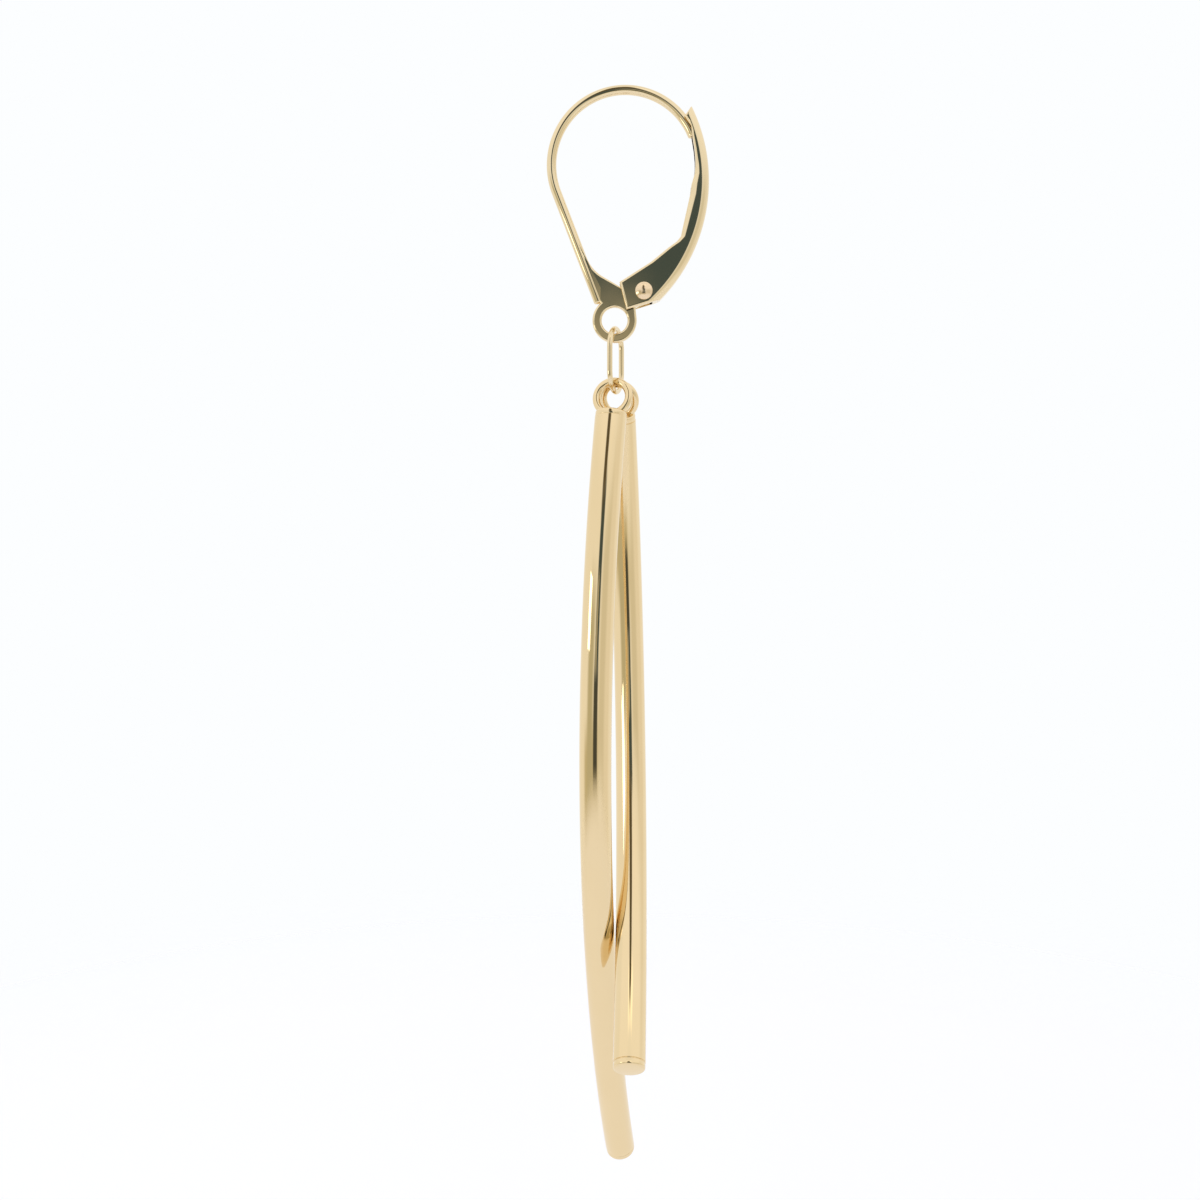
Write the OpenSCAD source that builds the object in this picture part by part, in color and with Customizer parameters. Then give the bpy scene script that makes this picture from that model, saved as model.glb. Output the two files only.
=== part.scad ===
// A long drop earring with a hinged leverback: a round ear wire that runs into a flat plate,
// a channel-shaped lever on a rivet, an oval link, and two bent round tubes that cross low down.
// X runs towards the wearer's back, Y across the ear lobe and Z up, in millimetres.
// The origin is the inside of the ear wire at the top of its bow, where it sits in the lobe.

/* [Ear wire] */
// Diameter of the ear wire
wire_d = 0.62; // [0.55:0.01:0.66]
// Radius of the bow, to the middle of the wire
bow_r = 4.69; // [4.66:0.01:4.72]
// Angle above level at which the wire ends, behind the ear
tip_angle = 23; // [23:1:32]
// Lean of the straight run from plumb, where it leaves the bow
run_lean = 21.3; // [21:0.1:21.6]

/* [Plate] */
// Thickness of the flat plate
plate_t = 0.56; // [0.5:0.01:0.57]
// Radius of the round lug at the foot of the plate
lug_r = 1.43; // [1.38:0.01:1.45]
// Radius of the hole that the link hangs in
lug_hole_r = 0.83; // [0.8:0.01:0.86]
// Radius of the round boss that the rivet passes through
boss_r = 0.7; // [0.6:0.01:0.72]

/* [Lever] */
// Width of the lever across its two side walls
lever_w = 1.5; // [1.46:0.01:1.6]
// Width of the slot between the side walls
slot_w = 0.8; // [0.76:0.01:0.82]
// Thickness of the lever's back
back_t = 0.22; // [0.18:0.01:0.24]
// Radius of the lever's back, seen from the side
back_r = 10.41; // [10.38:0.01:10.5]
// Radius that rounds the two edges of the back
back_edge_r = 0.5; // [0.4:0.01:0.5]

/* [Rivet] */
// Radius of the rivet's shank
rivet_r = 0.3; // [0.25:0.01:0.32]
// Radius of the rivet's domed heads
head_r = 0.55; // [0.48:0.01:0.58]
// Height of each head
head_h = 0.22; // [0.15:0.01:0.25]

/* [Link] */
// Diameter of the link's wire
link_wire_d = 0.35; // [0.32:0.01:0.35]
// Width of the oval link, to the middle of its wire
link_w = 2.6; // [2.5:0.05:2.7]
// Height of the oval link over its wire
link_h = 4.38; // [4.36:0.01:4.4]
// Turn of the link and the two rings about plumb
hang_turn = 16; // [14:0.5:17]

/* [Tubes] */
// Diameter of both tubes
tube_d = 2.05; // [1.95:0.01:2.06]
// Wall of the hollow tubes
tube_wall = 0.2; // [0.15:0.01:0.3]
// Thickness of the cap that closes each end
cap_t = 0.45; // [0.3:0.05:0.6]
// Radius that rounds the edge of each cap
cap_edge_r = 0.15; // [0.1:0.01:0.2]
// Gap between the two tubes at their tops
tube_gap = 0.06; // [0.04:0.01:0.1]
// Height of the tubes' tops below the origin
tube_top = 20.11; // [20.09:0.01:20.12]
// Diameter of the wire of each tube's ring
ring_wire_d = 0.5; // [0.45:0.01:0.52]
// Radius of each ring, to the middle of its wire
ring_r = 1.08; // [1.05:0.01:1.1]
// Height of each ring's middle above its cap
ring_rise = 0.97; // [0.96:0.01:1]

/* [Long tube] */
// How far the lower end lies towards the wearer's back from the upper end
long_end_x = 0.58; // [0.5:0.01:0.7]
// How far the lower end lies across from the upper end
long_end_y = 6.47; // [6.2:0.01:6.7]
// How far the lower end lies below the upper end
long_drop = 52.05; // [50:0.05:53]
// Height of the bend above the straight line between the ends
long_bow = 5.08; // [4.8:0.01:5.3]
// Direction of the bend, seen from above
long_bow_turn = 255.8; // [255:0.1:257]

/* [Short tube] */
// How far the lower end lies towards the wearer's back from the upper end
short_end_x = 0.7; // [0.6:0.01:0.8]
// How far the lower end lies across from the upper end
short_end_y = -7.97; // [-8.2:0.01:-7.6]
// How far the lower end lies below the upper end
short_drop = 40.7; // [40:0.05:42]
// Height of the bend above the straight line between the ends
short_bow = 6.53; // [6.3:0.01:6.8]
// Direction of the bend, seen from above
short_bow_turn = 87; // [86:0.1:88]

/* [Hidden] */
$fn = 64;

gold = [0.87, 0.72, 0.42];
pale_gold = [0.93, 0.83, 0.6];

// Ear wire and plate
bow_z = wire_d / 2 - bow_r;
run_start = [-bow_r * cos(run_lean), bow_z - bow_r * sin(run_lean)];
run_dir = [sin(run_lean), -cos(run_lean)];
run_side = [cos(run_lean), sin(run_lean)];
run_len = 7.4;
web_start = 3.4;
join_step = 0.02;
join_len = 0.15;
tip_sink = 0.06;
lug = [-0.64, -14.22];
rivet_at = [1.24, -12.43];
plate_corner = [-2.15, -10.95];
plate_tip = [0.45, -12.61];
plate_fillet = 0.8;
neck = [[0.55, -12.92], [1.34, -12.99], [0.71, -13.43], [0.76, -14.03]];

// Lever
lever_centre = [-5.03, -5.53];
lever_depth = 2.9;
lever_from = -62;
lever_sweep = 95;
pivot_clearance = 0.03;
head_gap = 0.04;
// Corners of the side walls in order: the foot, then up the inner edge to the tip
wall_foot = [[3.29, -12.65], [0.13, -13.6], [-0.33, -11.84]];
wall_inner = [[1.68, -10.58], [2.8, -9.68], [3.33, -9.3], [3.59, -8.98], [3.69, -8.5]];
wall_tip = [[4.17, -6.36], [4.25, -5.75], [4.44, -5.1], [4.49, -4.6], [4.49, -4.2], [4.42, -3.5], [4.3, -2.8],
    [4.19, -2.08], [3.79, -1.5], [4.2, -0.93]];
wall_outside = [[6.5, -0.93], [6.5, -9.5]];

// Link
hang_x = -0.57;
link_top = -14.56;
link_mid_r = link_w / 2;
link_run = link_h - link_wire_d - link_w;

// Tubes
tube_r = tube_d / 2;
seam_step = 0.02;
seam_depth = 0.1;
// The tubes' tops lean towards each other, so their middles stand closer than two radii
top_lean = 0.905;
top_offset = top_lean * tube_r + tube_gap / 2;

function unit(v) = v / norm(v);
function along_run(t, side) = run_start + t * run_dir + side * run_side;
function turned(v, a) = [v[0] * cos(a) + v[1] * sin(a), v[1] * cos(a) - v[0] * sin(a), v[2]];

// Stands a flat outline of X and Z up and gives it a thickness across Y
module upright(thickness) {
    rotate([90, 0, 0]) linear_extrude(thickness, center = true) children();
}

// An arc of round wire in the X-Z plane
module wire_arc(centre_r, d, from, to) {
    rotate([90, 0, 0]) rotate_extrude(start = from, angle = to - from)
        translate([centre_r, 0]) circle(d = d);
}

// A straight round bar from one X-Z point along a direction
module bar(start, dir, len, d) {
    translate([start[0], 0, start[1]]) rotate([0, 90 - atan2(dir[1], dir[0]), 0]) cylinder(d = d, h = len);
}

// The flat outline of the plate: lug, neck, boss and the web that grows out of the wire
module plate_outline() {
    inner_start = along_run(web_start, 0);
    inner_end = along_run(run_len, 0);
    corner_to_run = unit(along_run(0, 0) - along_run(1, 0));
    corner_to_tip = unit(plate_tip - plate_corner);
    bend = acos(-corner_to_run * corner_to_tip);
    fillet_r = plate_fillet / tan(bend / 2);
    bisector = unit(corner_to_run + corner_to_tip);
    translate(lug) circle(lug_r);
    translate(rivet_at) circle(boss_r);
    polygon([inner_start, along_run(web_start, wire_d / 2), plate_corner, plate_tip,
        rivet_at, neck[0], lug, inner_end]);
    polygon([neck[0], rivet_at, neck[1], neck[2], neck[3], lug]);
    difference() {
        polygon([plate_corner + plate_fillet * corner_to_run,
            plate_corner - plate_fillet / 2 * bisector,
            plate_corner + plate_fillet * corner_to_tip]);
        translate(plate_corner + fillet_r / cos(bend / 2) * bisector) circle(fillet_r);
    }
}

module ear_wire() {
    color(gold) difference() {
        union() {
            translate([0, 0, bow_z]) wire_arc(bow_r, wire_d, tip_angle, 180 + run_lean);
            translate([0, 0, bow_z]) rotate([0, -tip_angle, 0])
                translate([bow_r, 0, tip_sink]) sphere(d = wire_d - join_step);
            bar(run_start - join_len * run_dir, run_dir, run_len + join_len, wire_d - join_step);
            upright(plate_t) plate_outline();
        }
        translate([lug[0], 0, lug[1]]) rotate([90, 0, 0])
            cylinder(r = lug_hole_r, h = 2 * plate_t, center = true);
        translate([rivet_at[0], 0, rivet_at[1]]) rotate([90, 0, 0])
            cylinder(r = rivet_r + pivot_clearance, h = 2 * plate_t, center = true);
    }
}

// Cross-section of the lever: two side walls and a back with rounded edges, open to the inside
module channel_section() {
    half = lever_w / 2;
    difference() {
        union() {
            translate([back_r - lever_depth, -half]) square([lever_depth - back_edge_r, lever_w]);
            translate([back_r - back_edge_r, back_edge_r - half])
                square([back_edge_r, lever_w - 2 * back_edge_r]);
            for (side = [-1, 1])
                translate([back_r - back_edge_r, side * (half - back_edge_r)]) circle(back_edge_r);
        }
        translate([back_r - lever_depth - 1, -slot_w / 2]) square([lever_depth + 1 - back_t, slot_w]);
    }
}

module lever() {
    color(gold) difference() {
        intersection() {
            translate([lever_centre[0], 0, lever_centre[1]]) rotate([90, 0, 0])
                rotate_extrude(start = lever_from, angle = lever_sweep) channel_section();
            upright(2 * lever_w) polygon(concat(wall_foot, wall_inner, wall_tip, wall_outside));
        }
        translate([rivet_at[0], 0, rivet_at[1]]) rotate([90, 0, 0])
            cylinder(r = rivet_r + pivot_clearance, h = 2 * lever_w, center = true);
    }
}

// A rivet with a low dome on each end
module rivet() {
    dome_r = (head_r * head_r + head_h * head_h) / (2 * head_h);
    face = lever_w / 2 + head_gap;
    color(pale_gold) translate([rivet_at[0], 0, rivet_at[1]]) rotate([90, 0, 0]) {
        cylinder(r = rivet_r, h = 2 * face + head_h, center = true);
        for (side = [0, 1]) mirror([0, 0, side]) intersection() {
            translate([0, 0, face]) cylinder(r = head_r, h = head_h);
            translate([0, 0, face + head_h - dome_r]) sphere(dome_r);
        }
    }
}

// An oval of round wire that hangs in the lug's hole
module link() {
    upper_z = link_top - link_wire_d / 2 - link_mid_r;
    color(pale_gold) translate([hang_x, 0, 0]) rotate([0, 0, 90 - hang_turn]) {
        translate([0, 0, upper_z]) wire_arc(link_mid_r, link_wire_d, 0, 180);
        translate([0, 0, upper_z - link_run]) wire_arc(link_mid_r, link_wire_d, 180, 360);
        for (side = [-1, 1])
            translate([side * link_mid_r, 0, upper_z - link_run]) cylinder(d = link_wire_d, h = link_run);
    }
}

// A disc with a rounded outer edge, let into the tube by the depth of its seam
module end_cap() {
    cap_r = tube_r - seam_step;
    translate([0, 0, -seam_depth]) cylinder(r = cap_r, h = cap_t + seam_depth - cap_edge_r);
    translate([0, 0, -seam_depth]) cylinder(r = cap_r - cap_edge_r, h = cap_t + seam_depth);
    translate([0, 0, cap_t - cap_edge_r]) rotate_extrude()
        translate([cap_r - cap_edge_r, 0]) circle(cap_edge_r);
}

// A bent hollow tube with closed ends and a ring on its upper cap. The bend is an arc in the
// local X-Z plane that bulges towards +X, with the upper end at the local origin.
module bent_tube(end, bow, bow_turn) {
    local = turned(end, bow_turn);
    chord = norm(end);
    bend_r = chord * chord / (8 * bow) + bow / 2;
    half_sweep = asin(chord / 2 / bend_r);
    cap_sweep = cap_t / bend_r * 180 / PI;
    swing = half_sweep - cap_sweep;
    hollow_swing = swing - 2 * seam_depth / bend_r * 180 / PI;
    rotate([0, 0, bow_turn]) rotate([atan2(local[1], -local[2]), 0, 0])
    rotate([0, -asin(local[0] / chord), 0]) {
        translate([bow - bend_r, 0, -chord / 2]) {
            difference() {
                wire_arc(bend_r, tube_d, -swing, swing);
                wire_arc(bend_r, tube_d - 2 * tube_wall, -hollow_swing, hollow_swing);
            }
            for (up = [-1, 1]) rotate([0, -up * swing, 0]) translate([bend_r, 0, 0])
                mirror([0, 0, up < 0 ? 1 : 0]) end_cap();
        }
        rotate([0, -half_sweep, 0]) translate([0, 0, ring_rise])
            rotate([0, 0, 90 - hang_turn - bow_turn + (abs(bow_turn) > 180 ? 180 : 0)])
                rotate([0, 90, 0]) rotate_extrude() translate([ring_r, 0]) circle(d = ring_wire_d);
    }
}

// Puts a tube's upper end under the link, on one side of its middle
module hung(side) {
    translate([hang_x + side * top_offset * sin(hang_turn), side * top_offset * cos(hang_turn), -tube_top])
        children();
}

module long_tube() {
    color(gold) hung(-1) bent_tube([long_end_x, long_end_y, -long_drop], long_bow, long_bow_turn);
}

module short_tube() {
    color(gold) hung(1) bent_tube([short_end_x, short_end_y, -short_drop], short_bow, short_bow_turn);
}

ear_wire();
lever();
rivet();
link();
long_tube();
short_tube();
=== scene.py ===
"""The looks of a long drop earring with a hinged leverback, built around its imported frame.

Sizes are millimetres, and each finished mesh is scaled to metres when it is set into the scene.
X runs towards the wearer's back, Y across the ear lobe and Z up. The origin is the inside of the
ear wire at the top of its bow.
"""

import logging
import math
from dataclasses import dataclass
from enum import Enum
from typing import Callable, NamedTuple

import bmesh
import bpy
from bmesh.types import BMEdge, BMFace, BMVert
from bpy.types import Material, Node, NodeTree, Object
from mathutils import Matrix, Vector
from mathutils.geometry import intersect_line_line_2d


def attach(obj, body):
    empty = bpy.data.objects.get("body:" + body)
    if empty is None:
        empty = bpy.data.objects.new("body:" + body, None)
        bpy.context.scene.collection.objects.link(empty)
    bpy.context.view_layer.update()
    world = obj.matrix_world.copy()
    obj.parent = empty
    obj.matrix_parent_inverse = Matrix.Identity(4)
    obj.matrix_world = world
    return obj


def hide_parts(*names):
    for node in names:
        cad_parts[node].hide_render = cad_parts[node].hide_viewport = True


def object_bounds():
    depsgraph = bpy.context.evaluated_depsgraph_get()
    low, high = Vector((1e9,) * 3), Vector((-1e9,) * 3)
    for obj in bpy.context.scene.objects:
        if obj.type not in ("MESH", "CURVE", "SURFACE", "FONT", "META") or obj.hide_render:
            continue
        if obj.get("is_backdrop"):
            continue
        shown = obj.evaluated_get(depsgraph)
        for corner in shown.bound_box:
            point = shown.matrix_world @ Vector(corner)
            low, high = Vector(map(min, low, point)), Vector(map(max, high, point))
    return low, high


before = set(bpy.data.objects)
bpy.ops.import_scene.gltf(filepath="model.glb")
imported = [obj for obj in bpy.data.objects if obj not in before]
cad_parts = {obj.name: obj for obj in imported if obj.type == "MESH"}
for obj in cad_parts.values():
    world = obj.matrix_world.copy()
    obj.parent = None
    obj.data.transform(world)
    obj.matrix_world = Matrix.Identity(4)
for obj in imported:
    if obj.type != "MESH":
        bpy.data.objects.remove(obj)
CAD_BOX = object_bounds()

LOG = logging.getLogger("earring")
MM = 0.001
TINY = 1e-4
# An edge that turns more than this, in radians, stays crisp.
CRISP_ANGLE = math.radians(40.0)
# Width of the flat ring inside a rounded rim, against the rounding: it keeps the face's shading flat.
RING_SHARE = 0.005

X_AXIS = Vector((1.0, 0.0, 0.0))
Y_AXIS = Vector((0.0, 1.0, 0.0))
Z_AXIS = Vector((0.0, 0.0, 1.0))

Flat = tuple[float, float]
Triple = tuple[float, float, float]
Socket = bpy.types.NodeSocket

# Shared by several pieces: the rivet's place, and the X and the turn in degrees that link and rings hang at.
RIVET_PLACE: Flat = (1.24, -12.43)
HANG_X = -0.57
HANG_TURN = 16.0


class PatternSource(Enum):
    """Where a finish reads its pattern: the piece's place, or its stock as if it lay straight."""

    PLACE = "place"
    STRAIGHT_STOCK = "straight_stock"


class Ramp(NamedTuple):
    """One soft step of a value: nothing below start, all above end."""

    start: float
    end: float


class RingStep(NamedTuple):
    """One step of a turned end: how far it rises from the tube's end, and its radius there."""

    rise: float
    radius: float


class RimPoint(NamedTuple):
    """A corner of the lever's inner edge, and how far the rounding reaches there against its radius."""

    corner: Flat
    reach: float


def upright(flat: Flat) -> Vector:
    """Stand a flat X-Z point up in the plane of the leverback, with Y at nothing."""
    return Vector((flat[0], 0.0, flat[1]))


def quarter_turn(steps: int) -> list[float]:
    """Give the angles of a quarter turn in equal steps, with both its ends."""
    return [math.pi / 2 * index / steps for index in range(steps + 1)]


def only(items: list, kind: type) -> list:
    """Keep the items of one kind: the vertices, the edges or the faces."""
    return [item for item in items if isinstance(item, kind)]


def put_in_scene(name: str, data: bpy.types.ID) -> Object:
    """Make an object from its mesh, lamp or lens and put it in the scene.

    Args:
        name: the object's name.
        data: what it holds.

    Returns:
        The new object.
    """
    piece = bpy.data.objects.new(name, data)
    bpy.context.scene.collection.objects.link(piece)
    return piece


class Workpiece:
    """A mesh on the bench: it is drawn, turned, stepped and closed, then set into the scene."""

    def __init__(self) -> None:
        """Lay an empty mesh on the bench."""
        self.mesh = bmesh.new()

    def circle(self, radius: float, sides: int, place: Matrix) -> list[BMEdge]:
        """Mark a circle out that faces along the Z of its place, and give its edges in order."""
        made = bmesh.ops.create_circle(self.mesh, cap_ends=False, radius=radius, segments=sides, matrix=place)
        return list(dict.fromkeys(edge for vert in made["verts"] for edge in vert.link_edges))

    def turn(self, stock: list, centre: Vector, axis: Vector, degrees: float, steps: int) -> list:
        """Sweep stock round an axis, counter-clockwise as seen from the axis's tip.

        Args:
            stock: the edges or vertices to sweep.
            centre: a point on the axis.
            axis: the direction of the axis.
            degrees: how far to sweep.
            steps: in how many steps.

        Returns:
            The edges or vertices at the end of the sweep.
        """
        whole = abs(abs(degrees) - 360.0) < TINY
        made = bmesh.ops.spin(self.mesh, geom=stock, cent=centre, axis=axis, dvec=(0.0, 0.0, 0.0),
                              angle=math.radians(degrees), steps=steps, use_merge=whole)
        return only(made["geom_last"], type(stock[0]))

    def step(self, edges: list[BMEdge], centre: Vector, shift: Vector, scale: float) -> list[BMEdge]:
        """Draw a closed edge out into a further one, moved and scaled about its centre.

        Args:
            edges: the closed edge.
            centre: the centre of the edge before it moves.
            shift: how far the new edge moves.
            scale: the new edge's size against the old one's.

        Returns:
            The edges of the new closed edge.
        """
        made = bmesh.ops.extrude_edge_only(self.mesh, edges=edges)["geom"]
        fresh = only(made, BMVert)
        about = Matrix.Translation(-centre)
        bmesh.ops.scale(self.mesh, vec=(scale, scale, scale), space=about, verts=fresh)
        bmesh.ops.translate(self.mesh, vec=shift, verts=fresh)
        return [edge for edge in only(made, BMEdge) if all(vert in fresh for vert in edge.verts)]

    def close_end(self, edges: list[BMEdge]) -> None:
        """Close an end, given by the closed edge round it, with a fan of narrow faces."""
        made = bmesh.ops.contextual_create(self.mesh, geom=edges)
        bmesh.ops.poke(self.mesh, faces=made["faces"])

    def close_holes(self) -> None:
        """Close every open edge with a face."""
        bmesh.ops.holes_fill(self.mesh, edges=[edge for edge in self.mesh.edges if edge.is_boundary], sides=0)

    def turned_end(self, edges: list[BMEdge], centre: Vector, outwards: Vector, radius: float,
                   steps: tuple[RingStep, ...]) -> None:
        """Finish the open end of round stock with a row of turned steps, and close it.

        Args:
            edges: the closed edge round the open end.
            centre: the middle of that end.
            outwards: the unit direction that the end faces.
            radius: the radius of the open end.
            steps: the steps, from the open end to the middle.
        """
        rise = 0.0
        for step in steps:
            shift = (step.rise - rise) * outwards
            edges = self.step(edges, centre + rise * outwards, shift, step.radius / radius)
            rise, radius = step.rise, step.radius
        self.close_end(edges)

    def straighten(self, unbend: Callable[[Vector], Vector]) -> None:
        """Note on each vertex where it would lie if its stock were straight.

        Args:
            unbend: gives the place in straight stock for a place in the bent piece.
        """
        layer = self.mesh.verts.layers.float_vector.new(PatternSource.STRAIGHT_STOCK.value)
        for vert in self.mesh.verts:
            vert[layer] = unbend(vert.co)

    def move(self, matrix: Matrix) -> None:
        """Move everything on the bench by a matrix."""
        bmesh.ops.transform(self.mesh, matrix=matrix, verts=self.mesh.verts)

    def clean(self) -> None:
        """Merge doubles and turn every face outwards."""
        bmesh.ops.remove_doubles(self.mesh, verts=self.mesh.verts, dist=TINY)
        bmesh.ops.recalc_face_normals(self.mesh, faces=self.mesh.faces)

    def add(self, other: "Workpiece") -> None:
        """Join another finished mesh to this one and take it off the bench.

        Args:
            other: the mesh to take in.
        """
        held = bpy.data.meshes.new("held")
        other.mesh.to_mesh(held)
        other.mesh.free()
        self.mesh.from_mesh(held)
        bpy.data.meshes.remove(held)

    def set_down(self, name: str, finish: Material) -> Object:
        """Scale the mesh to metres and make it an object of the scene.

        Args:
            name: the object's name.
            finish: its material.

        Returns:
            The new object.
        """
        self.move(Matrix.Scale(MM, 4))
        for face in self.mesh.faces:
            face.smooth = True
        for edge in self.mesh.edges:
            edge.smooth = len(edge.link_faces) < 2 or edge.calc_face_angle() < CRISP_ANGLE
        made = bpy.data.meshes.new(name)
        self.mesh.to_mesh(made)
        self.mesh.free()
        made.materials.append(finish)
        return put_in_scene(name, made)


class Outline:
    """A flat outline, drawn point by point with straight lines and arcs."""

    def __init__(self, work: Workpiece, start: Flat, up: Vector = Z_AXIS) -> None:
        """Put the pencil down.

        Args:
            work: the mesh to draw on.
            start: the first point.
            up: the direction of a point's second number. That of the first is X.
        """
        self.work = work
        self.up = up
        self.first = bmesh.ops.create_vert(work.mesh, co=self.place(start))["vert"][0]
        self.last = self.first
        self.edges: list[BMEdge] = []

    def place(self, flat: Flat) -> Vector:
        """Give a flat point's place in space."""
        return flat[0] * X_AXIS + flat[1] * self.up

    def line(self, *points: Flat) -> None:
        """Draw straight lines on to the given points.

        Args:
            points: the points in order.
        """
        for flat in points:
            made = bmesh.ops.extrude_vert_indiv(self.work.mesh, verts=[self.last])
            self.edges += made["edges"]
            self.last = made["verts"][0]
            bmesh.ops.translate(self.work.mesh, vec=self.place(flat) - self.last.co, verts=[self.last])

    def arc(self, centre: Flat, degrees: float, steps: int) -> None:
        """Draw an arc from the last point, counter-clockwise if the angle is positive.

        Args:
            centre: the arc's centre.
            degrees: how far it turns.
            steps: in how many steps.
        """
        before = set(self.work.mesh.edges)
        self.last = self.work.turn([self.last], self.place(centre), X_AXIS.cross(self.up), degrees, steps)[0]
        self.edges += [edge for edge in self.work.mesh.edges if edge not in before]

    def close(self) -> list[BMEdge]:
        """Draw the last line back to the first point, and give all edges of the closed outline."""
        self.edges.append(self.work.mesh.edges.new((self.last, self.first)))
        return self.edges


def rounded_sheet(work: Workpiece, outlines: list[BMEdge], thickness: float, rim_r: float,
                  steps: int) -> None:
    """Turn closed outlines in the X-Z plane into a sheet across Y whose rims are all rounded.

    The near half is raised and its rim inset along a quarter circle, and the far half is its mirror image.

    Args:
        work: the mesh that holds the outlines and nothing else.
        outlines: the outer outline's edges, with those of any hole.
        thickness: the sheet's thickness.
        rim_r: the radius that rounds each rim.
        steps: the number of insets in each rounding.
    """
    base = only(bmesh.ops.triangle_fill(work.mesh, use_beauty=True, edges=outlines)["geom"], BMFace)
    if base[0].normal.y > 0:
        bmesh.ops.reverse_faces(work.mesh, faces=base)
    grown = bmesh.ops.extrude_face_region(work.mesh, geom=base)["geom"]
    bmesh.ops.translate(work.mesh, vec=(rim_r - thickness / 2) * Y_AXIS, verts=only(grown, BMVert))
    work.mesh.normal_update()
    angles = quarter_turn(steps)
    insets = [(math.cos(low) - math.cos(high), math.sin(high) - math.sin(low))
              for low, high in zip(angles, angles[1:])]
    for inwards, rise in (*insets, (RING_SHARE, 0.0)):
        bmesh.ops.inset_region(work.mesh, faces=only(grown, BMFace), use_boundary=True, use_even_offset=True,
                               thickness=rim_r * inwards, depth=rim_r * rise)
    inner = [face for face in work.mesh.faces if all(abs(vert.co.y) < TINY for vert in face.verts)]
    bmesh.ops.delete(work.mesh, geom=inner, context="FACES")
    bmesh.ops.mirror(work.mesh, geom=work.mesh.verts[:] + work.mesh.edges[:] + work.mesh.faces[:],
                     matrix=Matrix.Identity(4), merge_dist=TINY, axis="Y")
    work.clean()


@dataclass(frozen=True)
class GoldFinish:
    """Polished pale yellow gold, with the faint traces that polishing and wear leave on it."""

    name: str
    tint: Triple
    deep_tint: Triple
    pattern: PatternSource = PatternSource.PLACE
    gloss_low: float = 0.03
    gloss_high: float = 0.09
    cloud_scale: float = 0.32
    cloud_ramp: Ramp = Ramp(0.35, 0.75)
    cloud_share: float = 0.8
    line_scale: float = 16.0
    line_stretch: float = 0.035
    scratch_scale: float = 3.0
    scratch_stretch: Triple = (1.0, 0.2, 0.1)
    scratch_w: float = 0.012
    scratch_share: float = 0.15
    scratch_height_share: float = 0.2
    ripple_scale: float = 0.55
    line_height: float = 0.0006
    line_share: float = 0.25
    ripple_height: float = 0.004

    def make(self) -> Material:
        """Mix the finish.

        Returns:
            The new material.
        """
        material = bpy.data.materials.new(self.name)
        material.use_nodes = True
        chain = NodeChain(material.node_tree)
        metal = chain.tree.nodes["Principled BSDF"]
        metal.inputs["Metallic"].default_value = 1.0
        place = self.pattern_place(chain)
        clouds = chain.noise(place, self.cloud_scale, detail=3.0)
        lines = chain.noise(chain.stretch(place, (1.0, 1.0, self.line_stretch)), self.line_scale, detail=4.0)
        scratches = chain.noise(chain.stretch(place, self.scratch_stretch), self.scratch_scale, detail=1.0)
        hair = chain.remap(chain.away(scratches, 0.5), Ramp(0.0, self.scratch_w), (1.0, 0.0))
        ripple = chain.noise(place, self.ripple_scale, detail=1.0)
        chain.link(chain.blend(clouds, self.deep_tint, self.tint), metal.inputs["Base Color"])
        dulled = chain.remap(clouds, self.cloud_ramp, (0.0, self.cloud_share))
        wear = chain.mix_values(dulled, hair, self.scratch_share)
        streaks = chain.mix_values(wear, lines, self.line_share)
        gloss = chain.remap(streaks, Ramp(0.0, 1.0), (self.gloss_low, self.gloss_high))
        chain.link(gloss, metal.inputs["Roughness"])
        surface = chain.bump(ripple, self.ripple_height * MM, None)
        marks = chain.mix_values(lines, hair, self.scratch_height_share)
        surface = chain.bump(marks, self.line_height * MM, surface)
        chain.link(surface, metal.inputs["Normal"])
        return material

    def pattern_place(self, chain: "NodeChain") -> Socket:
        """Give the place that the pattern follows, in millimetres.

        Args:
            chain: the nodes of the finish.

        Returns:
            The place.
        """
        if self.pattern is PatternSource.PLACE:
            source = chain.node("ShaderNodeTexCoord").outputs["Object"]
            return chain.stretch(source, (1.0 / MM, 1.0 / MM, 1.0 / MM))
        stock = chain.node("ShaderNodeAttribute")
        stock.attribute_name = PatternSource.STRAIGHT_STOCK.value
        return stock.outputs["Vector"]


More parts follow.
